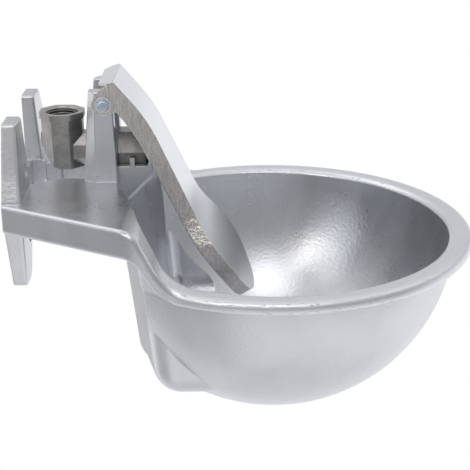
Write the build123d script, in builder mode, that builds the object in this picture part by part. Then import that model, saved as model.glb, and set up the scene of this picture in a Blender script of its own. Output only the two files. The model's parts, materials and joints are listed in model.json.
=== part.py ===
from build123d import *
import os
from math import cos, hypot, radians, sin, sqrt, tan

os.makedirs("parts", exist_ok=True)

# Livestock drinking bowl with a tongue valve, in millimetres.
# X runs forward from the mounting face towards the bowl, Z is up, Y is across.
# The origin is on the mounting face, in the middle of the four bolt holes.

# ---------------------------------------------------------------- driving dimensions
wall = 4.0                  # cast aluminium wall
running_gap = 0.3           # air between pieces that move past each other
contact_gap = 0.35          # air between the tongue's back and the stem's head
fit_gap = 0.05              # radial clearance of a running fit
spill = 1.0                 # how far a cut runs past the face that it opens
near = 0.1                  # places this close count as the same

# bowl
bowl_radius = 121.5         # outside of the round body, also its depth below the rim
bowl_x = 167.4              # centre of the round body
rim_z = -29.0               # top of the rim
rim_overhang = 11.0         # how far the rolled rim stands out past the body
rim_thickness = 7.0
rim_round = 2.8             # rounding of the rim's outer edges
lip_round = 3.0             # rounding of the edge round the opening

# deck between the mounting plate and the bowl
deck_top = 9.0
skirt_depth = 18.0
deck_plate = 5.0            # thickness of the deck's top plate and its skirt
deck_rear_half_width = 68.5
deck_inset = 16.5           # how far the deck's sides stay inside the rim's edge
skirt_thickness = 6.5       # across the foot of the deck's skirt
slope_length = 19.0         # the deck falls away to the rim over this length
slope_clearance = 2.4       # from the foot of the slope to where the round rim starts
slope_top_round = 12.0
slope_foot_round = 25.0
under_lead = 2.0            # the underside turns level this much sooner
under_top_round = 10.0
under_foot_round = 20.0
hollow_setback = 8.0        # the hollow under the deck ends this far behind the slope
deck_corner_round = 20.0
neck_round = 30.0           # where the deck's side runs into the round rim

# drafted pocket behind the round bowl
back_wall_x = 63.0          # outer face of its rear wall at the deck
back_flat_half_width = 22.0 # the middle of the rear wall is flat
back_splay = 0.25           # each side of the rear wall then runs forward at this slope
back_round = 60.0
pocket_half_width = 98.0
pocket_bottom_z = -120.0
pocket_draft = 6.5          # degrees
pocket_corner_round = 14.0
pocket_bottom_round = 26.0

# mounting plate and its four prongs
plate_tip_thickness = 8.5
prong_round = 2.0
plate_root_thickness = 11.3
prong_inner = 25.5
prong_outer = 47.5
prong_root_outer = 66.0
prong_lower_root_outer = 64.0
prong_top_z = 54.0
prong_tip_z = -53.0
prong_tip_inner = 29.0
prong_tip_outer = 49.0
prong_tip_round = 7.0
prong_top_round = 2.5
bolt_hole_radius = 5.5
bolt_hole_y = 35.0
bolt_hole_z = 21.0

# opening in the deck that lets a pipe come up: wide between the prongs, narrow between the posts
slot_rear_x = 4.0
slot_step_x = 14.0
slot_middle_half_width = 19.5
slot_neck_x = 24.5
slot_half_width = 14.6
slot_corner = 1.6           # length of the slanted step into the narrow part
slot_rim_depth = 14.0

# posts that carry the tongue
post_inner = 13.5
post_outer = 24.5
post_foot_rear_x = 44.0
post_foot_front_x = 67.0
post_top_rear = 10.0        # reach of the post's top behind the pivot, in front of it and above it
post_top_front = 5.0
post_top_rise = 7.4
post_face_foot_x = 52.8     # where the outer face starts, behind it is a slanted corner
post_face_top_rear = 5.7    # the same at the top, behind the pivot
post_bevel = 6.5            # how far the slanted corner reaches inwards
post_round = 1.2

# web and shelf that hold the valve
web_rear_x = 56.3
web_thickness = 8.3
web_rise = 10.5             # top of the web above the valve's axis
web_overlap = 0.5           # how far the web runs into each post
shelf_half_width = 15.5
shelf_drop = 8.5            # top of the shelf below the valve's axis
shelf_depth = 24.0
shelf_nose = 8.0            # height of its front face below the top
shelf_root_length = 10.0    # width of its foot on the bowl's rear wall
shelf_round = 4.0
lip_gap = 0.4               # air between the hexagon and the low lip in front of it
lip_thickness = 3.6
lip_slant = 1.0
lip_drop = 5.6              # top of the lip below the valve's axis
nib_x = 75.7                # nib beside the hexagon
nib_length = 3.4
nib_thickness = 3.0
nib_drop = 3.2              # top of the nib below the valve's axis

# pivot of the tongue
pivot_x = 60.0
pivot_z = 60.6
pin_radius = 3.6
pin_proud = 4.0             # how far the pin stands out past each bush
pin_end_round = 1.4
bush_flange_radius = 5.1
bush_flange = 1.2
bush_wall = 1.0

# tongue, pressed from sheet
sheet = 1.5
# corners of the face's side view, forward of the pivot and above it
tongue_spine = [(6.7, 14.4), (27.5, -10.1), (59.0, -78.1), (82.0, -108.1), (95.0, -132.1)]
tongue_bends = [110.0, 80.0, 100.0]      # radius of the face at each corner of its spine
tongue_depths = [11.8, 11.6, 9.5, 9.0, 8.5]    # how far the side flange reaches back
tongue_neck_half_width = 27.0
tongue_shoulder_half_width = 31.0
tongue_spade_half_width = 45.0
tongue_straight = 20.0
tongue_neck_length = 90.0
tongue_spade_at = 134.0
ear_radius = 7.1
ear_blend = 5.0             # how far below the top edge the ear runs into the flange
tab_slope = 13.35           # degrees, down towards its rear edge
tab_length = 10.0
tab_corner = 6.0

# valve
valve_z = 25.5
inlet_reach = 26.0          # from the web back to the middle of the inlet
inlet_rise = 25.1           # top of the inlet above the valve's axis
inlet_flats = 26.0          # across flats of the elbow's upright leg
outlet_flats = 22.0         # across flats of its level leg
band_flats = 28.4
band_height = 4.0
band_round = 4.0
elbow_curve_rise = 8.5      # the outside of the elbow curves away below this height over the axis
thread_minor_radius = 9.3   # half-inch parallel pipe thread
thread_depth = 12.6
relief_radius = 9.8         # groove that the thread runs out into
relief_length = 2.4
mouth_chamfer = 2.3
inlet_bore_radius = 8.0
chamber_radius = 8.0
spigot_radius = 9.4
spigot_length = 9.0
nozzle_bore_radius = 6.0
hex_flats = 24.0
hex_length = 18.4
hex_chamfer = 1.0
washer_thickness = 1.8
gasket_thickness = 1.5

# valve stem and seal
stem_radius = 3.0
stem_head_radius = 5.5
stem_head_length = 4.0
head_bulge = 2.4            # height of the dome on the stem's head
stem_thread_radius = 2.5
shoulder_gap = 0.9          # air between the stem's shoulder and the seat's bore
shoulder_length = 1.5
shoulder_taper = 1.0
seal_radius = 6.6
seal_thickness = 3.0
seat_radius = 7.6
seat_length = 5.0
seat_bore = 5.2
seat_lip = 1.0
plate_thickness = 1.5
nut_flats = 8.0
nut_thickness = 3.6
guide_length = 4.5
guide_radius = 7.6
guide_hub_radius = 4.8
guide_rim = 1.2
guide_spoke = 2.2
guide_spokes = 3
circlip_thickness = 1.0
circlip_grip = 0.5          # depth of its groove
circlip_width = 1.4
circlip_gap = 6.0           # between its ends
spring_radius = 5.6
spring_wire = 0.55          # radius of the wire
spring_gap = 0.1
spring_turns = 5
cup_radius = 6.6
cup_thickness = 1.6
cup_boss_radius = 4.2
cup_boss_length = 2.6
cup_hole_radius = 3.0
strainer_flange = 1.2
strainer_flange_radius = 9.2
strainer_wall = 0.9
strainer_cup_radius = 7.0
strainer_cup_depth = 3.2
strainer_hole_radius = 0.8
strainer_hole_spacing = 1.04    # half the distance between neighbouring holes
strainer_hole_rows = 5


# ---------------------------------------------------------------- derived places
rim_radius = bowl_radius + rim_overhang
rim_bottom = rim_z - rim_thickness
deck_bottom = deck_top - skirt_depth
deck_front_half_width = rim_radius - deck_inset
neck_x = bowl_x - sqrt(rim_radius**2 - deck_front_half_width**2)
slope_end_x = neck_x - slope_clearance
slope_start_x = slope_end_x - slope_length
deck_spread = (deck_front_half_width - deck_rear_half_width) / slope_start_x
post_top_z = pivot_z + post_top_rise
inlet_x = web_rear_x - inlet_reach
inlet_top_z = valve_z + inlet_rise
thread_bottom_z = inlet_top_z - thread_depth
relief_floor_z = thread_bottom_z - relief_length
web_front_x = web_rear_x + web_thickness
web_top_z = valve_z + web_rise
washer_front_x = web_front_x + washer_thickness
hex_front_x = washer_front_x + hex_length
lip_rear_x = hex_front_x + lip_gap
shelf_front_x = lip_rear_x + lip_thickness
shelf_top_z = valve_z - shelf_drop
lip_top_z = valve_z - lip_drop
nib_top_z = valve_z - nib_drop
spigot_rear_x = web_rear_x - spigot_length
seat_front_x = spigot_rear_x + seat_length
seal_front_x = spigot_rear_x - seat_lip - running_gap
seal_rear_x = seal_front_x - seal_thickness
disc_rear_x = seal_rear_x - plate_thickness
nut_rear_x = disc_rear_x - nut_thickness
chamber_rear_x = inlet_x - chamber_radius / 2
far_away = 400.0


def write(name, part):
    """Label one piece and write its file."""
    part.label = name
    export_step(part, f"parts/{name}.step")


def along_x(x):
    """Plane across the valve's axis at x, its own X along Y and its own Y upwards."""
    return Plane(origin=(x, 0, valve_z), x_dir=(0, 1, 0), z_dir=(1, 0, 0))


def mirrored(points):
    """A half outline, given from y = 0 outwards and back, with its mirror image."""
    return points + [(x, -y) for x, y in reversed(points)]


# ---------------------------------------------------------------- bowl casting
def drafted_block(inset, half_width, front_x, rounded):
    """Pocket behind the bowl: narrows downwards, `inset` inside its outer faces."""
    rear_x = back_wall_x + inset
    width = half_width - inset
    side_x = rear_x + back_splay * (width - back_flat_half_width)
    outline = mirrored([(rear_x, back_flat_half_width), (side_x, width), (front_x, width)])
    height = deck_top - pocket_bottom_z - inset if rounded else 2 * bowl_radius
    with BuildPart() as block:
        with BuildSketch(Plane.XY.offset(deck_top)) as plan:
            Polygon(*outline, align=None)
            creases = plan.vertices().filter_by(lambda v: abs(abs(v.Y) - back_flat_half_width) < near)
            fillet(creases, back_round)
        extrude(amount=height, dir=(0, 0, -1), taper=pocket_draft)
        if rounded:
            floor = block.faces().sort_by(Axis.Z)[0]
            fillet(floor.edges(), pocket_bottom_round - inset)
            upright = block.edges().filter_by(lambda e: abs(e.tangent_at(0.5).Z) > 0.9)
            corners = upright.filter_by(lambda e: abs(e.center().Y) > width / 2)
            rear_corners = corners.filter_by(lambda e: e.center().X < (side_x + front_x) / 2)
            fillet(rear_corners, pocket_corner_round - inset)
    return block.part


def bowl_form(inset):
    """The hollow body's form: a half ball cut off by the rear wall, and the pocket."""
    radius = bowl_radius - inset
    with BuildPart() as form:
        with BuildSketch(Plane.XZ):
            with BuildLine():
                Polyline((bowl_x, deck_top), (bowl_x + radius, deck_top), (bowl_x + radius, rim_z))
                CenterArc((bowl_x, rim_z), radius, 0, -90)
                Line((bowl_x, rim_z - radius), (bowl_x, deck_top))
            make_face()
        revolve(axis=Axis((bowl_x, 0, 0), (0, 0, 1)))
        add(drafted_block(inset, far_away, far_away, False), mode=Mode.INTERSECT)
        add(drafted_block(inset, pocket_half_width, bowl_x, True))
    return form.part


def deck_and_rim():
    """One plate: the flat deck, its slope down to the bowl and the round rim."""
    outline = mirrored([(0, deck_rear_half_width), (slope_start_x, deck_front_half_width),
                        (neck_x + wall, deck_front_half_width)])
    under = [(0, deck_bottom), (slope_start_x, deck_bottom),
             (slope_end_x - under_lead, rim_bottom), (far_away, rim_bottom)]
    with BuildPart() as plate:
        with BuildSketch(Plane.XY.offset(-far_away / 4)) as plan:
            Polygon(*outline, align=None)
            with Locations((bowl_x, 0)):
                Circle(rim_radius)
            fillet(plan.vertices().filter_by(lambda v: abs(v.X - slope_start_x) < near), deck_corner_round)
            fillet(plan.vertices().filter_by(lambda v: abs(v.X - neck_x) < near), neck_round)
        extrude(amount=far_away / 2)
        add(below_top(0), mode=Mode.INTERSECT)
        with BuildSketch(Plane.XZ):
            with BuildLine():
                lower = FilletPolyline(*under, radius=[under_top_round, under_foot_round])
                Polyline(lower @ 1, (far_away, -far_away), (0, -far_away), lower @ 0)
            make_face()
        extrude(amount=far_away / 2, both=True, mode=Mode.SUBTRACT)
        fillet(plate.edges().filter_by(lambda e: e.bounding_box().size.X > near), rim_round)
    return plate.part


def below_top(drop):
    """Everything below the deck, its slope and the rim, or `drop` under them."""
    top = [(0, deck_top - drop), (slope_start_x, deck_top - drop),
           (slope_end_x, rim_z - drop), (far_away, rim_z - drop)]
    with BuildPart() as below:
        with BuildSketch(Plane.XZ):
            with BuildLine():
                upper = FilletPolyline(*top, radius=[slope_top_round, slope_foot_round])
                Polyline(upper @ 1, (far_away, -far_away), (0, -far_away), upper @ 0)
            make_face()
        extrude(amount=far_away / 2, both=True)
    return below.part


def prong(side, level, tip_z, level_outer, tip_inner, tip_outer, tip_round):
    """One prong of the mounting plate, tapering from the deck's level to its tip."""
    share = deck_plate / abs(tip_z - level)
    root_z = level - share * (tip_z - level)
    root_inner = prong_inner - share * (tip_inner - prong_inner)
    root_outer = level_outer - share * (tip_outer - level_outer)
    root_thickness = plate_root_thickness - share * (plate_tip_thickness - plate_root_thickness)
    with BuildPart() as arm:
        with BuildSketch(Plane.YZ) as front:
            Polygon((side * root_inner, root_z), (side * tip_inner, tip_z),
                    (side * tip_outer, tip_z), (side * root_outer, root_z), align=None)
            fillet(front.vertices().filter_by(lambda v: abs(v.Y - tip_z) < near), tip_round)
        extrude(amount=2 * plate_root_thickness)
        with BuildSketch(Plane.XZ):
            Polygon((0, root_z), (root_thickness, root_z),
                    (plate_tip_thickness, tip_z), (0, tip_z), align=None)
        extrude(amount=deck_front_half_width, both=True, mode=Mode.INTERSECT)
        fronts = arm.edges().filter_by(lambda e: e.center().X > plate_tip_thickness - prong_round)
        fillet(fronts.filter_by(lambda e: abs(e.center().Z - root_z) > near), prong_round)
    return arm.part


def post(side):
    """Post beside the valve, leaning in towards its top, with a slanted rear corner."""
    levels = [(deck_top - deck_plate, post_foot_rear_x, post_face_foot_x, post_foot_front_x),
              (post_top_z, pivot_x - post_top_rear, pivot_x - post_face_top_rear, pivot_x + post_top_front)]
    with BuildPart() as upright:
        for z, rear_x, face_x, front_x in levels:
            with BuildSketch(Plane.XY.offset(z)):
                Polygon((rear_x, side * post_inner), (front_x, side * post_inner),
                        (front_x, side * post_outer), (face_x, side * post_outer),
                        (rear_x, side * (post_outer - post_bevel)), align=None)
        loft(ruled=True)
        fillet(upright.edges().filter_by(lambda e: e.center().Z > deck_top), post_round)
    return upright.part


def valve_seat_block():
    """Web between the posts, notched for the valve's neck, and the cradle in front of it."""
    nose_z = shelf_top_z - shelf_nose
    foot_z = shelf_top_z - shelf_depth
    cradle = [(back_wall_x, shelf_top_z), (lip_rear_x, shelf_top_z), (lip_rear_x + lip_slant, lip_top_z),
              (shelf_front_x, lip_top_z), (shelf_front_x, nose_z),
              (back_wall_x + shelf_root_length, foot_z), (back_wall_x, foot_z)]
    with BuildPart() as block:
        with BuildSketch(Plane.XZ):
            Polygon(*cradle, align=None)
        extrude(amount=shelf_half_width, both=True)
        under = block.edges().filter_by(lambda e: e.center().Z < (shelf_top_z + nose_z) / 2)
        fillet(under.filter_by(lambda e: e.center().X > back_wall_x + wall), shelf_round)
        for side in (-1, 1):
            with BuildSketch(Plane.XY.offset(shelf_top_z - spill)):
                with Locations((nib_x, side * (shelf_half_width - nib_thickness / 2))):
                    Rectangle(nib_length, nib_thickness)
            extrude(amount=nib_top_z - shelf_top_z + spill)
        with BuildSketch(along_x(web_front_x)):
            RegularPolygon(hex_flats / 2 + running_gap, 6, major_radius=False)
            with Locations((0, hex_flats / 2)):
                Rectangle(hex_flats, hex_flats)
        extrude(amount=lip_rear_x - web_front_x, mode=Mode.SUBTRACT)
        with BuildSketch(Plane.YZ.offset(web_rear_x)):
            with Locations((0, (deck_bottom + web_top_z) / 2)):
                Rectangle(2 * (post_inner + web_overlap), web_top_z - deck_bottom)
        extrude(amount=web_thickness)
        with BuildSketch(Plane.YZ.offset(web_rear_x)):
            with Locations((0, valve_z)):
                Circle(spigot_radius + running_gap)
            with Locations((0, web_top_z)):
                Rectangle(2 * (spigot_radius + running_gap), 2 * (web_top_z - valve_z))
        extrude(amount=web_thickness, mode=Mode.SUBTRACT)
    return block.part


def deck_slot(margin, bottom_z, top_z):
    """The deck's slot, grown by `margin`: it narrows in two steps from the prongs to the posts."""
    wide, middle, narrow = (w + margin for w in (prong_inner, slot_middle_half_width, slot_half_width))
    step_x = slot_step_x + margin
    narrow_x = slot_neck_x + margin
    outline = mirrored([(slot_rear_x, wide), (step_x, wide), (step_x, middle), (narrow_x, middle),
                        (narrow_x + slot_corner, narrow), (post_foot_rear_x + margin, narrow)])
    with BuildPart() as slot:
        with BuildSketch(Plane.XY.offset(bottom_z)):
            Polygon(*outline, align=None)
        extrude(amount=top_z - bottom_z)
    return slot.part


def deck_hollow():
    """The hollow under the deck, open downwards."""
    rear_y = deck_rear_half_width - skirt_thickness
    ends = [plate_root_thickness, slope_start_x - hollow_setback]
    outline = mirrored([(x, rear_y + deck_spread * x) for x in ends])
    with BuildPart() as hollow:
        with BuildSketch(Plane.XY.offset(deck_bottom - spill)):
            Polygon(*outline, align=None)
        extrude(amount=skirt_depth + spill - deck_plate)
        add(deck_slot(deck_plate / 2, deck_top - slot_rim_depth, deck_top), mode=Mode.SUBTRACT)
    return hollow.part


def bowl_shell():
    """Outside of the hollow body, ending inside the thickness of the deck and the rim."""
    with BuildPart() as shell:
        add(bowl_form(0))
        add(below_top(deck_plate / 2), mode=Mode.INTERSECT)
    return shell.part


def lip_edges(casting):
    """Edges round the bowl's opening, where the top of the casting turns down."""
    tops = [f for f in casting.faces() if f.normal_at().Z > 0.3 and f.center().Z > rim_z - spill]
    edges = [e for f in tops for e in f.edges()]
    borders = [e for e in edges if edges.count(e) == 1]
    reach = (rim_radius + bowl_radius) / 2 - wall
    return [e for e in borders
            if e.center().X > back_wall_x and hypot(e.center().X - bowl_x, e.center().Y) < reach]


# where the pocket's side wall meets the round wall
lip_meet_x = bowl_x - sqrt((bowl_radius - wall) ** 2 - (pocket_half_width - wall) ** 2)

with BuildPart() as bowl_casting:
    add(deck_and_rim())
    add(deck_hollow(), mode=Mode.SUBTRACT)
    add(bowl_shell())
    add(bowl_form(wall), mode=Mode.SUBTRACT)
    fillet([e for e in lip_edges(bowl_casting) if e.center().X > lip_meet_x], lip_round)
    for side in (-1, 1):
        add(prong(side, deck_top, prong_top_z, prong_root_outer, prong_inner, prong_outer, prong_top_round))
        add(prong(side, deck_bottom, prong_tip_z, prong_lower_root_outer, prong_tip_inner, prong_tip_outer,
                  prong_tip_round))
    add(post(-1))
    add(post(1))
    add(valve_seat_block())
    add(deck_slot(0, deck_bottom, deck_top + spill), mode=Mode.SUBTRACT)
    with BuildSketch(Plane.YZ) as bolt_holes:
        with GridLocations(2 * bolt_hole_y, 2 * bolt_hole_z, 2, 2):
            Circle(bolt_hole_radius)
    extrude(amount=plate_root_thickness + spill, mode=Mode.SUBTRACT)
    with BuildSketch(Plane.XZ):
        with Locations((pivot_x, pivot_z)):
            Circle(pin_radius)
    extrude(amount=post_outer + spill, both=True, mode=Mode.SUBTRACT)
write("bowl_casting", bowl_casting.part)


# ---------------------------------------------------------------- tongue and its pivot
spine = [Vector(pivot_x + x, pivot_z + z) for x, z in tongue_spine]
chord = spine[-1] - spine[0]
tongue_length = chord.length
# plane that sees the tongue square on, its origin at the middle of the top edge
tongue_face = Plane(origin=(spine[0].X, 0, spine[0].Y), x_dir=(0, 1, 0), z_dir=(-chord.Y, 0, chord.X))
bush_radius = pin_radius + fit_gap + bush_wall


def spine_behind(depths):
    """Corners of the tongue's side view, each `depths` behind its face, run on past both ends."""
    ways = [(b - a).normalized() for a, b in zip(spine, spine[1:])]
    backs = [Vector(way.Y, -way.X) for way in ways]
    corners = [spine[0] + backs[0] * depths[0] - ways[0] * tongue_straight]
    for i in range(1, len(spine) - 1):
        step = backs[i - 1] + backs[i]
        corners.append(spine[i] + step * (depths[i] / (1 + backs[i - 1].dot(backs[i]))))
    corners.append(spine[-1] + backs[-1] * depths[-1] + ways[-1] * tongue_straight)
    return corners


def tongue_layer(front, back):
    """The space between two lines behind the tongue's face, as wide as the tongue and more."""
    with BuildPart() as layer:
        with BuildSketch(Plane.XZ):
            with BuildLine():
                face = FilletPolyline(*spine_behind(front), radius=tongue_bends)
                rear = FilletPolyline(*spine_behind(back), radius=tongue_bends)
                Line(face @ 0, rear @ 0)
                Line(face @ 1, rear @ 1)
            make_face()
        extrude(amount=2 * tongue_spade_half_width, both=True)
    return layer.part


def tongue_outline(inset):
    """The tongue seen square on, `inset` inside its edge, as a closed prism."""
    neck = tongue_neck_half_width - inset
    shoulder = tongue_shoulder_half_width - inset
    spade = tongue_spade_half_width - inset
    tip_length = tongue_length - tongue_spade_at - inset
    top = 4 * inset
    reach = 2 * tongue_depths[0]
    with BuildPart() as prism:
        with BuildSketch(tongue_face.offset(reach)):
            with BuildLine():
                sides = Polyline((0, top), (neck, top), (neck, -tongue_straight),
                                 (shoulder, -tongue_neck_length))
                Spline(sides @ 1, (spade, -tongue_spade_at), tangents=[(0, -1), (0, -1)])
                EllipticalCenterArc((0, -tongue_spade_at), spade, tip_length,
                                    start_angle=270, arc_size=90)
                Line((0, -tongue_spade_at - tip_length), sides @ 0)
            make_face()
            mirror(about=Plane.YZ)
        extrude(amount=-2 * reach)
    return prism.part


def tongue_inside():
    """The hollow behind the tongue's face, open to the rear and at its top."""
    skin = [sheet] * len(spine)
    beyond = [2 * depth for depth in tongue_depths]
    with BuildPart() as hollow:
        add(tongue_outline(sheet))
        add(tongue_layer(skin, beyond), mode=Mode.INTERSECT)
    return hollow.part


def ear(side):
    """Rounded ear round the pivot, blended into the tongue's side flange."""
    run_on, bend = spine_behind([sheet / 2] * len(spine))[:2]
    down = (bend - run_on).normalized()
    top = run_on + down * tongue_straight
    low = top + down * tongue_straight
    rear = top + down * ear_blend + spine_behind(tongue_depths)[1] - bend
    with BuildPart() as plate:
        with BuildSketch(Plane.XZ.offset(-side * tongue_neck_half_width)):
            with Locations((pivot_x, pivot_z)):
                Circle(ear_radius)
            Polygon((top.X, top.Y), (low.X, low.Y), (rear.X, rear.Y), align=None)
            make_hull()
        extrude(amount=side * sheet)
    return plate.part


def tab():
    """Top edge of the sheet, folded back over the posts, with its corners cut off."""
    slope = radians(tab_slope)
    tab_plane = Plane(origin=(spine[0].X, 0, spine[0].Y), x_dir=(0, 1, 0),
                      z_dir=(-sin(slope), 0, cos(slope)))
    half_width = tongue_neck_half_width
    outline = [(half_width, 0), (half_width, tab_length - tab_corner),
               (half_width - tab_corner, tab_length)]
    with BuildPart() as plate:
        with BuildSketch(tab_plane):
            Polygon(*outline, *[(-x, y) for x, y in reversed(outline)], align=None)
        extrude(amount=-sheet)
    return plate.part


with BuildPart() as paddle:
    add(tongue_outline(0))
    add(tongue_layer([0] * len(spine), tongue_depths), mode=Mode.INTERSECT)
    add(tongue_inside(), mode=Mode.SUBTRACT)
    add(ear(-1))
    add(ear(1))
    add(tab())
    with BuildSketch(Plane.XZ):
        with Locations((pivot_x, pivot_z)):
            Circle(bush_radius)
    extrude(amount=2 * tongue_neck_half_width, both=True, mode=Mode.SUBTRACT)
write("paddle", paddle.part)

bush_end = tongue_neck_half_width + bush_flange
pin_half_length = bush_end + pin_proud
with BuildPart() as pivot_pin:
    with BuildSketch(Plane.XZ):
        with Locations((pivot_x, pivot_z)):
            Circle(pin_radius)
    extrude(amount=pin_half_length, both=True)
    fillet(pivot_pin.edges().filter_by(GeomType.CIRCLE), pin_end_round)
write("pivot_pin", pivot_pin.part)

for name, side in (("bush_near", -1), ("bush_far", 1)):
    start = post_outer + running_gap
    with BuildPart() as bush:
        with BuildSketch(Plane.XZ.offset(-side * start)):
            with Locations((pivot_x, pivot_z)):
                Circle(bush_radius)
        extrude(amount=-side * (bush_end - start))
        with BuildSketch(Plane.XZ.offset(-side * tongue_neck_half_width)):
            with Locations((pivot_x, pivot_z)):
                Circle(bush_flange_radius)
        extrude(amount=-side * bush_flange)
        with BuildSketch(Plane.XZ):
            with Locations((pivot_x, pivot_z)):
                Circle(pin_radius + fit_gap)
        extrude(amount=pin_half_length, both=True, mode=Mode.SUBTRACT)
    write(name, bush.part)


# ---------------------------------------------------------------- valve
def ring(start_x, length, outer, inner):
    """Plain ring on the valve's axis."""
    with BuildPart() as piece:
        with BuildSketch(along_x(start_x)):
            Circle(outer)
            Circle(inner, mode=Mode.SUBTRACT)
        extrude(amount=length)
    return piece.part


inlet_apothem = inlet_flats / 2
outlet_bottom_z = valve_z - outlet_flats / 2
elbow_curve_z = valve_z + elbow_curve_rise
with BuildPart() as valve_body:
    # the upright leg, its outside curving into the level leg
    with BuildSketch(Plane.XY.offset(outlet_bottom_z)):
        with Locations((inlet_x, 0)):
            RegularPolygon(inlet_apothem, 8, major_radius=False, rotation=22.5)
    extrude(amount=inlet_top_z - band_height / 2 - outlet_bottom_z)
    with BuildSketch(Plane.XZ):
        with BuildLine():
            curve = EllipticalCenterArc((inlet_x, elbow_curve_z), inlet_apothem,
                                        elbow_curve_z - outlet_bottom_z, start_angle=180, arc_size=90)
            Polyline(curve @ 1, (web_rear_x, outlet_bottom_z), (web_rear_x, inlet_top_z),
                     (inlet_x - inlet_apothem, inlet_top_z), curve @ 0)
        make_face()
    extrude(amount=inlet_flats, both=True, mode=Mode.INTERSECT)
    with BuildSketch(along_x(inlet_x)):
        RegularPolygon(outlet_flats / 2, 8, major_radius=False, rotation=22.5)
    extrude(amount=web_rear_x - inlet_x)
    with BuildSketch(Plane.XY.offset(inlet_top_z - band_height)) as band:
        with Locations((inlet_x, 0)):
            RegularPolygon(band_flats / 2, 8, major_radius=False, rotation=22.5)
        fillet(band.vertices(), band_round)
    extrude(amount=band_height)
    with BuildSketch(Plane.XY.offset(inlet_top_z)):
        with Locations((inlet_x, 0)):
            Circle(thread_minor_radius)
    extrude(amount=-thread_depth, mode=Mode.SUBTRACT)
    mouth = valve_body.edges().filter_by(GeomType.CIRCLE).sort_by(Axis.Z)[-1]
    chamfer(mouth, mouth_chamfer)
    with BuildSketch(Plane.XY.offset(relief_floor_z)):
        with Locations((inlet_x, 0)):
            Circle(relief_radius)
    extrude(amount=relief_length, mode=Mode.SUBTRACT)
    with BuildSketch(Plane.XY.offset(valve_z)):
        with Locations((inlet_x, 0)):
            Circle(inlet_bore_radius)
    extrude(amount=inlet_top_z - valve_z, mode=Mode.SUBTRACT)
    with BuildSketch(along_x(chamber_rear_x)):
        Circle(chamber_radius)
    extrude(amount=web_rear_x - chamber_rear_x, mode=Mode.SUBTRACT)
    with BuildSketch(along_x(spigot_rear_x - gasket_thickness)):
        Circle(spigot_radius)
    extrude(amount=spigot_length + gasket_thickness, mode=Mode.SUBTRACT)
write("valve_body", valve_body.part)

write("nozzle_gasket", ring(spigot_rear_x - gasket_thickness, gasket_thickness,
                            spigot_radius, chamber_radius))
write("nozzle_washer", ring(web_front_x, washer_thickness, hex_flats / 2,
                            spigot_radius + running_gap))

groove_radius = guide_radius + circlip_grip
guide_front_x = hex_front_x - 2 * circlip_thickness
guide_rear_x = guide_front_x - guide_length
with BuildPart() as valve_nozzle:
    with BuildSketch(along_x(spigot_rear_x)):
        Circle(spigot_radius)
    extrude(amount=washer_front_x - spigot_rear_x)
    with BuildSketch(along_x(washer_front_x)):
        RegularPolygon(hex_flats / 2, 6, major_radius=False)
    extrude(amount=hex_front_x - washer_front_x)
    chamfer(valve_nozzle.faces().sort_by(Axis.X)[-1].edges(), hex_chamfer)
    with BuildSketch(along_x(spigot_rear_x)):
        Circle(nozzle_bore_radius)
    extrude(amount=hex_front_x - spigot_rear_x, mode=Mode.SUBTRACT)
    with BuildSketch(along_x(spigot_rear_x)):
        Circle(seat_radius)
    extrude(amount=seat_length, mode=Mode.SUBTRACT)
    with BuildSketch(along_x(guide_rear_x)):
        Circle(guide_radius)
    extrude(amount=hex_front_x - guide_rear_x, mode=Mode.SUBTRACT)
    with BuildSketch(along_x(guide_front_x)):
        Circle(groove_radius)
    extrude(amount=circlip_thickness, mode=Mode.SUBTRACT)
write("valve_nozzle", valve_nozzle.part)

with BuildPart() as valve_seat:
    with BuildSketch(along_x(spigot_rear_x)):
        Circle(seat_radius)
        Circle(seat_bore, mode=Mode.SUBTRACT)
    extrude(amount=seat_length)
    with BuildSketch(along_x(spigot_rear_x)):
        Circle(seat_bore + seat_lip)
        Circle(seat_bore, mode=Mode.SUBTRACT)
    extrude(amount=-seat_lip)
write("valve_seat", valve_seat.part)

spoke_length = guide_radius - guide_rim / 2
with BuildPart() as stem_guide:
    with BuildSketch(along_x(guide_rear_x)):
        Circle(guide_radius)
        Circle(guide_radius - guide_rim, mode=Mode.SUBTRACT)
        with PolarLocations(spoke_length / 2, guide_spokes, start_angle=90):
            Rectangle(spoke_length, guide_spoke)
        Circle(guide_hub_radius)
        Circle(stem_radius + fit_gap, mode=Mode.SUBTRACT)
    extrude(amount=guide_length)
write("stem_guide", stem_guide.part)

with BuildPart() as guide_circlip:
    with BuildSketch(along_x(guide_front_x)):
        Circle(groove_radius)
        Circle(groove_radius - circlip_width, mode=Mode.SUBTRACT)
        with Locations((0, -groove_radius)):
            Rectangle(circlip_gap, groove_radius, mode=Mode.SUBTRACT)
    extrude(amount=circlip_thickness)
write("guide_circlip", guide_circlip.part)


# ---------------------------------------------------------------- stem, seal and spring
head_round = (stem_head_radius**2 + head_bulge**2) / (2 * head_bulge)
# the head's dome lies behind the tongue's back, a contact gap away
contact_way = (spine[2] - spine[1]).normalized()
back_corner = spine_behind([sheet] * len(spine))[1]
back_x = back_corner.X + (valve_z - back_corner.Y) * contact_way.X / contact_way.Y
dome_centre_x = back_x - (head_round + contact_gap) / -contact_way.Y
stem_tip_x = dome_centre_x + head_round
shoulder_radius = seat_bore - shoulder_gap
shoulder_front_x = seal_front_x + shoulder_length

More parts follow.
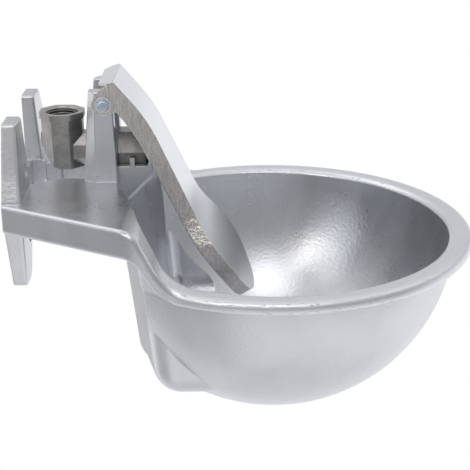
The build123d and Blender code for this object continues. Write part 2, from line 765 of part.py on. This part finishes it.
with BuildPart() as valve_stem:
    with BuildSketch(Plane(origin=(0, 0, valve_z), x_dir=(1, 0, 0), z_dir=(0, -1, 0))):
        with BuildLine():
            outline = Polyline((nut_rear_x, 0), (nut_rear_x, stem_thread_radius),
                               (seal_front_x, stem_thread_radius), (seal_front_x, shoulder_radius),
                               (shoulder_front_x, shoulder_radius),
                               (shoulder_front_x + shoulder_taper, stem_radius),
                               (stem_tip_x - stem_head_length, stem_radius),
                               (stem_tip_x - stem_head_length, stem_head_radius),
                               (stem_tip_x - head_bulge, stem_head_radius))
            RadiusArc(outline @ 1, (stem_tip_x, 0), head_round)
            Line((stem_tip_x, 0), outline @ 0)
        make_face()
    revolve(axis=Axis((0, 0, valve_z), (1, 0, 0)))
write("valve_stem", valve_stem.part)

write("seal_disc", ring(seal_rear_x, seal_thickness, seal_radius, stem_thread_radius))
write("seal_washer", ring(disc_rear_x, plate_thickness, seal_radius, stem_thread_radius))
with BuildPart() as seal_nut:
    with BuildSketch(along_x(nut_rear_x)):
        RegularPolygon(nut_flats / 2, 6, major_radius=False)
        Circle(stem_thread_radius, mode=Mode.SUBTRACT)
    extrude(amount=nut_thickness)
write("seal_nut", seal_nut.part)

cup_front_x = chamber_rear_x + cup_thickness
with BuildPart() as spring_cup:
    with BuildSketch(along_x(chamber_rear_x)):
        Circle(cup_radius)
    extrude(amount=cup_thickness)
    with BuildSketch(along_x(cup_front_x)):
        Circle(cup_boss_radius)
    extrude(amount=cup_boss_length)
    with BuildSketch(along_x(chamber_rear_x)):
        Circle(cup_hole_radius)
    extrude(amount=cup_thickness + cup_boss_length, mode=Mode.SUBTRACT)
write("spring_cup", spring_cup.part)

spring_start_x = cup_front_x + spring_wire + spring_gap
spring_length = disc_rear_x - spring_wire - spring_gap - spring_start_x
with BuildPart() as valve_spring:
    with BuildLine() as coil:
        Helix(pitch=spring_length / spring_turns, height=spring_length, radius=spring_radius,
              center=(spring_start_x, 0, valve_z), direction=(1, 0, 0))
    with BuildSketch(coil.line ^ 0):
        RegularPolygon(spring_wire, 8)
    sweep()
write("valve_spring", valve_spring.part)

strainer_floor_z = relief_floor_z - strainer_cup_depth
with BuildPart() as inlet_strainer:
    with BuildSketch(Plane.XY.offset(relief_floor_z)):
        with Locations((inlet_x, 0)):
            Circle(strainer_flange_radius)
    extrude(amount=strainer_flange)
    with BuildSketch(Plane.XY.offset(strainer_floor_z)):
        with Locations((inlet_x, 0)):
            Circle(strainer_cup_radius)
    extrude(amount=strainer_cup_depth)
    with BuildSketch(Plane.XY.offset(strainer_floor_z + strainer_wall)):
        with Locations((inlet_x, 0)):
            Circle(strainer_cup_radius - strainer_wall)
    extrude(amount=strainer_cup_depth + strainer_flange, mode=Mode.SUBTRACT)
    with BuildSketch(Plane.XY.offset(strainer_floor_z)):
        with Locations((inlet_x, 0)):
            with HexLocations(strainer_hole_spacing, strainer_hole_rows, strainer_hole_rows):
                Circle(strainer_hole_radius)
    extrude(amount=strainer_wall, mode=Mode.SUBTRACT)
write("inlet_strainer", inlet_strainer.part)
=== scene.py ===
"""Looks of the drinking bowl: finishes for its CAD pieces, a soft studio light and a camera.

Lengths are in metres, angles in degrees unless a line says otherwise.
"""

import json
from math import cos, radians, sin

import bpy
from mathutils import Matrix, Vector


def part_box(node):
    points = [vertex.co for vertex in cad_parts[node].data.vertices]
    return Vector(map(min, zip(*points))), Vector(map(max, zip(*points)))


MM = 0.001

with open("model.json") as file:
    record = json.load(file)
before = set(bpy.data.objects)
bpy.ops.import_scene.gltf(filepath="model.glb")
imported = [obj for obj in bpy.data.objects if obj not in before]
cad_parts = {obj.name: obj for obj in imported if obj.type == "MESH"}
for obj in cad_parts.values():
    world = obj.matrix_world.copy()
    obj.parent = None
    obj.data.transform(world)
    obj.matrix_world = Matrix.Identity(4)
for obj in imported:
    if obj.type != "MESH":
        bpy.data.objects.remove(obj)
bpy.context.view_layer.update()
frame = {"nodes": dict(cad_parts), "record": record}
nodes = frame["nodes"]
scene = bpy.context.scene

# ---------------------------------------------------------------- places taken from the frame
casting_low, casting_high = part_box("bowl_casting")
rim_radius = (casting_high.y - casting_low.y) / 2
bowl_centre_x = casting_high.x - rim_radius
rim_half_width = 7 * MM
valve_low, valve_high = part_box("valve_body")
inlet_x = valve_low.x + (valve_high.y - valve_low.y) / 2
inlet_thread_pitch = 1.814 * MM
tongue_slant = radians(31.35)

# Bands over which a feature of a finish fades in: where it is nothing, then where it is full
MOUNTING_END_X = (70 * MM, 66 * MM)
ABOVE_DECK_Z = (9.2 * MM, 10.5 * MM)
NEAR_THE_FOOT_Z = (30 * MM, 12 * MM)
ABOVE_RIM_FOOT_Z = (-40 * MM, -37 * MM)
BELOW_RIM_TOP_Z = (-18 * MM, -27 * MM)
OFF_RIM_MIDDLE = (8.5 * MM, 6.5 * MM)
RIM_OUTER_EDGE = (2 * MM, 5 * MM)
FAR_SIDE_Y = (20 * MM, 80 * MM)
FRONT_HALF_X = (-40 * MM, 30 * MM)
# painted reflection: the tongue's face darker low down
TONGUE_FACE_REFLECTION_Z = (-62 * MM, -18 * MM)
# painted shade: the tongue's flanks darker low down
TONGUE_FLANK_SHADE_Z = (-62 * MM, -10 * MM)
CRUSHED_FROM_Z = (-38 * MM, -24 * MM)
CRUSHED_TO_Z = (-2 * MM, -14 * MM)
MOUTH_RADIUS = (10.8 * MM, 9.9 * MM)
MOUTH_Z = (34 * MM, 37 * MM)

RIM_CROWN = -16.0                # per metre: how fast the rim's crown falls off its middle


# ---------------------------------------------------------------- node tree helpers
class NodeTree:
    """The nodes of one material or world."""

    def __init__(self, owner):
        owner.use_nodes = True
        self.tree = owner.node_tree
        self.tree.nodes.clear()

    def add(self, kind, values=None, **settings):
        """A node. A value given as a socket is linked to its input, anything else is set there."""
        node = self.tree.nodes.new(kind)
        for key, value in settings.items():
            setattr(node, key, value)
        for key, value in (values or {}).items():
            if isinstance(value, bpy.types.NodeSocket):
                self.tree.links.new(value, node.inputs[key])
            else:
                node.inputs[key].default_value = value
        return node


class Finish(NodeTree):
    """One material, built node by node over the piece's own place."""

    def __init__(self, name):
        self.material = bpy.data.materials.new(name)
        super().__init__(self.material)
        self.place = self.add("ShaderNodeTexCoord").outputs["Object"]

    def noise(self, scale, detail=2.0, roughness=0.5, place=None):
        """Soft noise with features about 1/scale metres across, from 0 to 1."""
        node = self.add("ShaderNodeTexNoise", {"Vector": place or self.place, "Scale": scale,
                                               "Detail": detail, "Roughness": roughness})
        return node.outputs["Fac"]

    def stretched(self, x, y, z, turn=0.0):
        """The object's place, turned about Y and squeezed along each axis, for brushed grain."""
        node = self.add("ShaderNodeMapping", {"Vector": self.place, "Rotation": (0, turn, 0),
                                              "Scale": (x, y, z)})
        return node.outputs["Vector"]

    def ramp(self, value, low, high, from_value=0.0, to_value=1.0):
        """Maps low..high of a value to from_value..to_value, smoothly and clamped."""
        node = self.add("ShaderNodeMapRange", {"Value": value, "From Min": low, "From Max": high,
                                               "To Min": from_value, "To Max": to_value},
                        interpolation_type="SMOOTHSTEP")
        return node.outputs["Result"]

    def math(self, operation, a, b=0.0):
        """One sum on two values."""
        return self.add("ShaderNodeMath", {0: a, 1: b}, operation=operation).outputs["Value"]

    def times(self, a, b):
        """Product of two values."""
        return self.math("MULTIPLY", a, b)

    def distance(self, a, b):
        """Length of the vector with these two components."""
        return self.math("SQRT", self.math("ADD", self.times(a, a), self.times(b, b)))

    def axis(self, name):
        """One coordinate of the place, in metres."""
        node = self.add("ShaderNodeSeparateXYZ", {"Vector": self.place})
        return node.outputs[name]

    def mix(self, factor, first, second):
        """Colour between two colours."""
        return self.add("ShaderNodeMix", {0: factor, 6: first, 7: second}, data_type="RGBA").outputs[2]

    def bump(self, height, distance, normal=None):
        """Normals over a relief as high as height times distance, on top of other normals."""
        values = {"Height": height, "Distance": distance, "Strength": 1.0}
        if normal is not None:
            values["Normal"] = normal
        return self.add("ShaderNodeBump", values).outputs["Normal"]

    def softened(self, radius):
        """Normals that round off sharp edges by that radius."""
        return self.add("ShaderNodeBevel", {"Radius": radius}, samples=6).outputs["Normal"]

    def surface(self, **values):
        """The principled shader and the output. Names are its inputs, with _ for a space."""
        named = {key.replace("_", " "): value for key, value in values.items()}
        shader = self.add("ShaderNodeBsdfPrincipled", named)
        self.add("ShaderNodeOutputMaterial", {"Surface": shader.outputs["BSDF"]})
        return self.material


def grey(value, warmth=0.0):
    """Grey with a little warmth (positive) or coolness (negative)."""
    return (value * (1 + warmth), value, value * (1 - warmth), 1.0)


def silver(value):
    """The cool grey of the lacquer and of the polished sheet."""
    return (value, value * 1.02, value * 1.065, 1.0)


# ---------------------------------------------------------------- finishes
def cast_aluminium():
    """Silver lacquer over a sand casting: orange peel, rough feet darkened by painted shade, a rim
    lightened by a painted highlight, chips along the rim.
    """
    f = Finish("cast_aluminium")
    x, y, z = f.axis("X"), f.axis("Y"), f.axis("Z")
    cloud = f.noise(16, 3, 0.55)
    streak = f.noise(1.0, 4, 0.6, f.stretched(60, 60, 25))
    ripple = f.noise(430, 1.5, 0.5)
    peel = f.noise(1050, 2.0, 0.55)
    # sand grain at the feet of the posts and prongs, with painted shade darkening them towards the foot
    on_plate = f.times(f.ramp(x, *MOUNTING_END_X), f.ramp(z, *ABOVE_DECK_Z))
    foot_sand_and_shade = f.times(on_plate, f.ramp(z, *NEAR_THE_FOOT_Z))
    sand = f.noise(420, 5, 0.7)
    # the rim as a band round the bowl's axis, lightened all round by a painted highlight, worn and chipped
    # on the outer edge of its far side
    reach_x = f.math("SUBTRACT", x, bowl_centre_x)
    past_middle = f.math("SUBTRACT", f.distance(reach_x, y), rim_radius - rim_half_width)
    rim_level = f.times(f.ramp(z, *ABOVE_RIM_FOOT_Z), f.ramp(z, *BELOW_RIM_TOP_Z))
    rim = f.times(f.ramp(f.math("ABSOLUTE", past_middle), *OFF_RIM_MIDDLE), rim_level)
    outer_edge = f.times(rim, f.ramp(past_middle, *RIM_OUTER_EDGE))
    far_side = f.times(f.ramp(y, *FAR_SIDE_Y), f.ramp(reach_x, *FRONT_HALF_X))
    worn = f.times(f.ramp(f.noise(26, 2, 0.6), 0.42, 0.58), far_side)
    chip = f.ramp(f.noise(560, 3, 0.65), 0.56, 0.66)
    chips = f.times(f.times(outer_edge, worn), chip)
    scratch = f.noise(1.0, 4, 0.7, f.stretched(300, 300, 900))
    nicks = f.times(rim, f.ramp(scratch, 0.60, 0.72))
    crown = f.times(f.times(past_middle, past_middle), f.times(rim, RIM_CROWN))
    tone = f.mix(f.ramp(cloud, 0.3, 0.7), silver(0.64), silver(0.71))
    tone = f.mix(f.ramp(streak, 0.40, 0.75, 0.0, 0.4), tone, silver(0.76))
    # painted shade: dark patches, thicker towards the foot of the posts and prongs
    tone = f.mix(f.times(foot_sand_and_shade, f.ramp(sand, 0.54, 0.72, 0.0, 0.55)), tone, silver(0.36))
    # painted highlight: the whole rim band lighter
    tone = f.mix(f.times(rim, 0.8), tone, silver(0.84))
    tone = f.mix(f.times(chips, 0.8), tone, grey(0.12, 0.02))
    rough = f.ramp(streak, 0.25, 0.8, 0.26, 0.34)
    rough = f.math("ADD", rough, f.times(foot_sand_and_shade, 0.10))
    rough = f.math("ADD", rough, f.times(rim, 0.05))
    normal = f.softened(1.4 * MM)
    normal = f.bump(ripple, 0.12 * MM, normal)
    normal = f.bump(peel, 0.02 * MM, normal)
    normal = f.bump(f.times(sand, foot_sand_and_shade), 0.6 * MM, normal)
    normal = f.bump(crown, 1.0, normal)
    normal = f.bump(f.times(nicks, -1.0), 0.35 * MM, normal)
    normal = f.bump(f.times(chips, -1.0), 0.6 * MM, normal)
    return f.surface(Base_Color=tone, Metallic=0.95, Roughness=rough, Normal=normal)


def pressed_stainless():
    """Sheet stainless: grain along the tongue's face, coarser brushing and bends on its flange; painted
    reflection darkens the face and painted shade the flanks towards their low end.
    """
    f = Finish("pressed_stainless")
    along = f.noise(1.0, 3, 0.6, f.stretched(90, 1600, 2600, tongue_slant))
    across = f.noise(1.0, 3, 0.6, f.stretched(2400, 500, 160, tongue_slant))
    cloud = f.noise(30, 3, 0.5)
    wrinkle = f.noise(150, 4, 0.7)
    height = f.axis("Z")
    crushed = f.times(f.ramp(height, *CRUSHED_FROM_Z), f.ramp(height, *CRUSHED_TO_Z))
    side = f.add("ShaderNodeSeparateXYZ", {"Vector": f.add("ShaderNodeNewGeometry").outputs["True Normal"]})
    flank = f.ramp(f.math("ABSOLUTE", side.outputs["Y"]), 0.5, 0.8)
    # painted reflection of the bowl's dark inside: the face darkens towards its low end
    face_reflection_tone = f.mix(f.ramp(height, *TONGUE_FACE_REFLECTION_Z), silver(0.36), silver(0.86))
    tone = f.mix(f.ramp(cloud, 0.3, 0.7, 0.0, 0.15), face_reflection_tone, silver(0.70))
    flank_tone = f.mix(f.ramp(across, 0.3, 0.7), grey(0.50, 0.05), grey(0.78, 0.035))
    # painted shade: the flanks darken towards their low end
    flank_tone = f.mix(f.ramp(height, *TONGUE_FLANK_SHADE_Z, 0.45, 0.0), flank_tone, grey(0.26, 0.0))
    tone = f.mix(flank, tone, flank_tone)
    rough = f.math("ADD", f.ramp(along, 0.2, 0.8, 0.26, 0.34), f.times(flank, -0.03))
    normal = f.softened(1.1 * MM)
    normal = f.bump(along, 0.010 * MM, normal)
    normal = f.bump(f.times(across, flank), 0.05 * MM, normal)
    dents = f.times(wrinkle, f.times(flank, f.math("ADD", 0.12, crushed)))
    normal = f.bump(dents, 1.3 * MM, normal)
    return f.surface(Base_Color=tone, Metallic=1.0, Roughness=rough, Normal=normal)


def cast_stainless():
    """Investment cast stainless: warm grey with a fine sparkling grain, threaded in its mouth, with painted
    shade darkening the mouth and its thread grooves.
    """
    f = Finish("cast_stainless")
    grain = f.noise(1500, 4, 0.7)
    blotch = f.noise(110, 3, 0.6)
    off_axis = f.distance(f.math("SUBTRACT", f.axis("X"), inlet_x), f.axis("Y"))
    mouth = f.times(f.ramp(off_axis, *MOUTH_RADIUS), f.ramp(f.axis("Z"), *MOUTH_Z))
    crest = f.math("PINGPONG", f.axis("Z"), inlet_thread_pitch / 2)
    thread_shade = f.times(mouth, f.ramp(crest, 0.0, inlet_thread_pitch / 2, 1.0, 0.35))
    tone = f.mix(f.ramp(blotch, 0.3, 0.7), grey(0.32, 0.035), grey(0.44, 0.035))
    tone = f.mix(f.ramp(grain, 0.45, 0.75, 0.0, 0.6), tone, grey(0.72, 0.02))
    # painted shade: the mouth dark inside, darkest in the thread grooves
    tone = f.mix(thread_shade, tone, grey(0.03, 0.02))
    rough = f.ramp(grain, 0.2, 0.8, 0.27, 0.42)
    normal = f.softened(0.8 * MM)
    normal = f.bump(grain, 0.06 * MM, normal)
    normal = f.bump(blotch, 0.12 * MM, normal)
    normal = f.bump(f.times(crest, mouth), 1.0, normal)
    return f.surface(Base_Color=tone, Metallic=0.95, Roughness=rough, Normal=normal)


def turned_stainless():
    """Turned or drawn stainless with fine tool marks."""
    f = Finish("turned_stainless")
    marks = f.noise(1.0, 2, 0.5, f.stretched(3200, 3200, 400))
    tone = f.mix(f.ramp(marks, 0.3, 0.7), grey(0.55, 0.01), grey(0.68, 0.0))
    normal = f.bump(marks, 0.02 * MM, f.softened(0.3 * MM))
    rough = f.ramp(marks, 0.2, 0.8, 0.22, 0.34)
    return f.surface(Base_Color=tone, Metallic=1.0, Roughness=rough, Normal=normal)


def zinc_plate():
    """Blue passivated zinc on the pivot pin."""
    f = Finish("zinc_plated_pin")
    patch = f.noise(420, 3, 0.6)
    tone = f.mix(f.ramp(patch, 0.35, 0.7), (0.50, 0.60, 0.72, 1), (0.70, 0.77, 0.84, 1))
    normal = f.bump(patch, 0.08 * MM, f.softened(0.5 * MM))
    rough = f.ramp(patch, 0.2, 0.8, 0.26, 0.42)
    return f.surface(Base_Color=tone, Metallic=0.95, Roughness=rough, Normal=normal)


def bright_collar():
    """Bright turned face of the bushes."""
    f = Finish("bright_collar")
    patch = f.noise(700, 3, 0.6)
    tone = f.mix(f.ramp(patch, 0.35, 0.7), silver(0.78), silver(0.94))
    normal = f.bump(patch, 0.05 * MM, f.softened(0.5 * MM))
    rough = f.ramp(patch, 0.2, 0.8, 0.35, 0.5)
    return f.surface(Base_Color=tone, Metallic=0.9, Roughness=rough, Normal=normal)


def rubber():
    """Black rubber of the disc and the gasket."""
    f = Finish("seal_rubber")
    speck = f.noise(900, 3, 0.6)
    tone = f.mix(speck, grey(0.02), grey(0.05))
    return f.surface(Base_Color=tone, Roughness=f.ramp(speck, 0.2, 0.8, 0.6, 0.8),
                     Normal=f.bump(speck, 0.03 * MM))


def brass():
    """Turned brass of the seat, marked along its length."""
    f = Finish("seat_brass")
    marks = f.noise(1.0, 2, 0.5, f.stretched(3000, 600, 600))
    tone = f.mix(marks, (0.55, 0.38, 0.14, 1), (0.78, 0.58, 0.26, 1))
    return f.surface(Base_Color=tone, Metallic=1.0, Roughness=f.ramp(marks, 0.2, 0.8, 0.2, 0.34),
                     Normal=f.bump(marks, 0.02 * MM))


def acetal():
    """White moulded plastic."""
    f = Finish("guide_plastic")
    flow = f.noise(160, 3, 0.5)
    tone = f.mix(flow, grey(0.66, 0.03), grey(0.76, 0.02))
    return f.surface(Base_Color=tone, Roughness=f.ramp(flow, 0.2, 0.8, 0.34, 0.48),
                     Normal=f.bump(flow, 0.03 * MM))


finishes = {
    "cast_aluminium": cast_aluminium(),
    "pressed_stainless": pressed_stainless(),
    "cast_stainless": cast_stainless(),
    "turned_stainless": turned_stainless(),
    "zinc_plated_pin": zinc_plate(),
    "seal_rubber": rubber(),
    "seat_brass": brass(),
    "guide_plastic": acetal(),
}
collar = bright_collar()
for part in frame["record"]["subparts"]:
    piece = nodes[part["node"]]
    piece.data.materials.clear()
    is_bush = part["node"] in ("bush_near", "bush_far")
    piece.data.materials.append(collar if is_bush else finishes[part["material_slot"]])


# ---------------------------------------------------------------- studio
class Surroundings(NodeTree):
    """Light from all round, written as brightness by direction; the camera itself sees white."""

    def __init__(self):
        self.world = bpy.data.worlds.new("studio")
        super().__init__(self.world)
        self.way = self.add("ShaderNodeTexCoord").outputs["Generated"]
        parts = self.add("ShaderNodeSeparateXYZ", {"Vector": self.way})
        self.across, self.height = parts.outputs["Y"], parts.outputs["Z"]

    def by_height(self, steps):
        """Colour from straight below to straight above. Each step is (sine of elevation, brightness)."""
        lift = self.add("ShaderNodeMapRange", {"Value": self.height, "From Min": -1.0})
        node = self.add("ShaderNodeValToRGB", {"Fac": lift.outputs["Result"]})
        elements = node.color_ramp.elements
        while len(elements) < len(steps):
            elements.new(0.5)
        for element, (sine, brightness) in zip(elements, steps):
            element.position = (sine + 1) / 2
            element.color = (brightness, brightness, brightness * 1.015, 1)
        return node.outputs["Color"]

    def mix(self, mode, factor, first, second):
        """Blends the second light over the first, without cutting either off at white."""
        node = self.add("ShaderNodeMix", {0: factor, 6: first, 7: second},
                        data_type="RGBA", blend_type=mode, clamp_result=False)
        return node.outputs[2]

    def lamp(self, onto, mode, azimuth, elevation, inner, outer, brightness, tint):
        """Adds a soft round lamp, or with MULTIPLY a shade: full to the inner angle, gone at the outer."""
        high, turn = radians(elevation), radians(azimuth)
        way = (sin(turn) * cos(high), cos(turn) * cos(high), sin(high))
        facing = self.add("ShaderNodeVectorMath", {0: self.way, 1: way}, operation="DOT_PRODUCT")
        glow = self.add("ShaderNodeMapRange", {"Value": facing.outputs["Value"],
                                               "From Min": cos(radians(outer)),
                                               "From Max": cos(radians(inner))},
                        interpolation_type="SMOOTHSTEP")
        colour = tuple(brightness * part for part in tint) + (1,)
        return self.mix(mode, glow.outputs["Result"], onto, colour)

    def finish(self, colour):
        """Makes that colour the light, with white behind the object, and gives it to the scene."""
        around = self.add("ShaderNodeBackground", {"Color": colour})
        backdrop = self.add("ShaderNodeBackground", {"Color": (1, 1, 1, 1)})
        seen = self.add("ShaderNodeLightPath")
        choose = self.add("ShaderNodeMixShader", {0: seen.outputs["Is Camera Ray"],
                                                  1: around.outputs[0], 2: backdrop.outputs[0]})
        self.add("ShaderNodeOutputWorld", {"Surface": choose.outputs[0]})
        scene.world = self.world


WHITE = (1.0, 1.0, 1.0)
PALE = (1.0, 0.98, 0.94)
WARM = (1.0, 0.95, 0.88)

# mode, azimuth from +Y towards +X, elevation, inner angle, outer angle, brightness, tint
LAMPS = (
    ("MULTIPLY", -115, -40, 10, 40, 0.60, WHITE),
    ("MULTIPLY", -20, -24, 8, 26, 0.55, WHITE),
    ("ADD", -142, 34, 3, 8, 4.0, WARM),
    ("ADD", -150, 44, 3, 8, 2.4, WARM),
    ("ADD", 176, 62, 10, 22, 1.3, WHITE),
    ("ADD", -117, 43, 5, 14, 0.8, WHITE),
    ("ADD", -88, 14, 3, 9, 2.4, PALE),
    ("ADD", -60, 55, 5, 18, 0.8, WHITE),
)

# sine of the elevation, brightness there
TOWARDS_MINUS_Y = ((-1, 0.74), (-0.88, 0.92), (-0.62, 0.92), (-0.30, 0.48), (0, 0.40), (0.35, 0.36),
                   (0.65, 0.50), (1, 0.70))
TOWARDS_PLUS_Y = ((-1, 0.72), (-0.65, 1.0), (-0.10, 0.95), (0.10, 0.88), (0.32, 0.44), (0.60, 0.80),
                  (0.80, 0.90), (1, 0.70))
BLEND = 0.35                     # the two meet over this much of the direction's Y, each way

studio = Surroundings()
turned_away = studio.add("ShaderNodeMapRange", {"Value": studio.across, "From Min": -BLEND,
                                                "From Max": BLEND}, interpolation_type="SMOOTHSTEP")
light = studio.mix("MIX", turned_away.outputs["Result"], studio.by_height(TOWARDS_MINUS_Y),
                   studio.by_height(TOWARDS_PLUS_Y))
for lamp in LAMPS:
    light = studio.lamp(light, *lamp)
studio.finish(light)

# ---------------------------------------------------------------- camera
camera_place = Vector((132.03, -681.37, 227.16)) * MM
camera_turn = -0.0146            # radians, about the vertical
camera_tilt = 0.3703             # radians, downwards
camera_roll = -0.0051            # radians
camera_lens = 82.53              # mm
sensor_width = 36                # mm
forward = Vector((-sin(camera_turn) * cos(camera_tilt), cos(camera_turn) * cos(camera_tilt),
                  -sin(camera_tilt)))
right = Vector((cos(camera_turn), sin(camera_turn), 0))
up = right.cross(forward)
across = right * cos(camera_roll) + up * sin(camera_roll)
upward = up * cos(camera_roll) - right * sin(camera_roll)
facing = Matrix((across, upward, -forward)).transposed().to_4x4()
camera = bpy.data.objects.new("camera", bpy.data.cameras.new("camera"))
camera.matrix_world = Matrix.Translation(camera_place) @ facing
camera.data.sensor_width = sensor_width
camera.data.lens = camera_lens
scene.collection.objects.link(camera)
scene.camera = camera
scene.view_settings.view_transform = "Standard"
